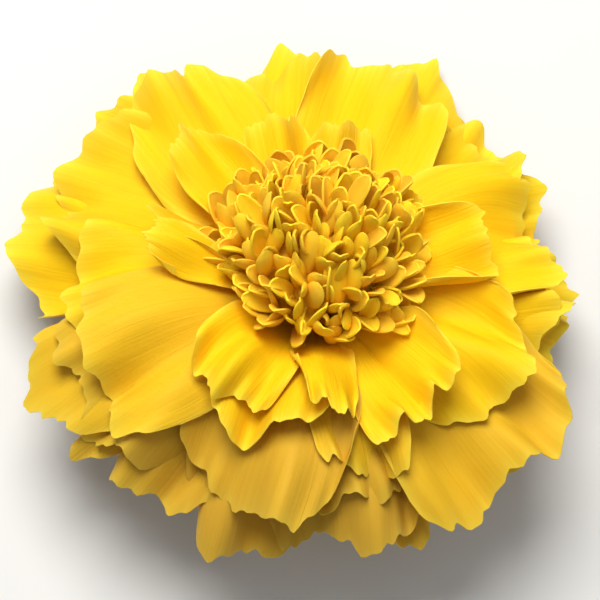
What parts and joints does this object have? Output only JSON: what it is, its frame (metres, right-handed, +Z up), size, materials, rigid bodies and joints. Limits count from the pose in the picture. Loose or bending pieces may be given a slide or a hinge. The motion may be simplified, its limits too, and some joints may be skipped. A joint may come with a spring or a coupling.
{
  "type": "marigold flower",
  "caption": "Picked double marigold head with ruffled fan petals round a domed crest of small florets, in a ribbed green cup with a short cut stalk; lies tilted on a table.",
  "frame": {"origin": "bottom centre of the bounding box of the flower as it lies on a flat surface", "axes": "+Z up from the surface; the flower's own axis leans from +Z towards +Y, so its crest faces up and back and the cut end of its stalk points down and towards -Y"},
  "size_m": [0.0664, 0.0622, 0.0388],
  "materials": {
    "petal_yellow": "soft matte petal, clear yellow, fine lengthwise veins, lets some light through",
    "floret_gold": "soft matte florets, golden yellow, deeper orange between them",
    "leaf_green": "green plant skin, slightly waxy, ribbed"
  },
  "bodies": {
    "root": {"outer_petal_01": "petal_yellow", "outer_petal_02": "petal_yellow", "outer_petal_03": "petal_yellow", "outer_petal_04": "petal_yellow", "outer_petal_05": "petal_yellow", "outer_petal_06": "petal_yellow", "outer_petal_07": "petal_yellow", "outer_petal_08": "petal_yellow", "outer_petal_09": "petal_yellow", "outer_petal_10": "petal_yellow", "outer_petal_11": "petal_yellow", "outer_petal_12": "petal_yellow", "outer_petal_13": "petal_yellow", "outer_petal_14": "petal_yellow", "outer_petal_15": "petal_yellow", "middle_petal_01": "petal_yellow", "middle_petal_02": "petal_yellow", "middle_petal_03": "petal_yellow", "middle_petal_04": "petal_yellow", "middle_petal_05": "petal_yellow", "middle_petal_06": "petal_yellow", "middle_petal_07": "petal_yellow", "middle_petal_08": "petal_yellow", "middle_petal_09": "petal_yellow", "middle_petal_10": "petal_yellow", "middle_petal_11": "petal_yellow", "middle_petal_12": "petal_yellow", "middle_petal_13": "petal_yellow", "middle_petal_14": "petal_yellow", "upper_petal_01": "petal_yellow", "upper_petal_02": "petal_yellow", "upper_petal_03": "petal_yellow", "upper_petal_04": "petal_yellow", "upper_petal_05": "petal_yellow", "upper_petal_06": "petal_yellow", "upper_petal_07": "petal_yellow", "upper_petal_08": "petal_yellow", "upper_petal_09": "petal_yellow", "upper_petal_10": "petal_yellow", "upper_petal_11": "petal_yellow", "upper_petal_12": "petal_yellow", "upper_petal_13": "petal_yellow", "upper_petal_14": "petal_yellow", "upper_petal_15": "petal_yellow", "inner_petal_01": "petal_yellow", "inner_petal_02": "petal_yellow", "inner_petal_03": "petal_yellow", "inner_petal_04": "petal_yellow", "inner_petal_05": "petal_yellow", "inner_petal_06": "petal_yellow", "inner_petal_07": "petal_yellow", "crest_florets_centre": "floret_gold", "crest_florets_1": "floret_gold", "crest_florets_2": "floret_gold", "crest_florets_3": "floret_gold", "crest_florets_4": "floret_gold", "crest_florets_5": "floret_gold", "calyx": "leaf_green", "stalk": "leaf_green"}
  },
  "joints": []
}
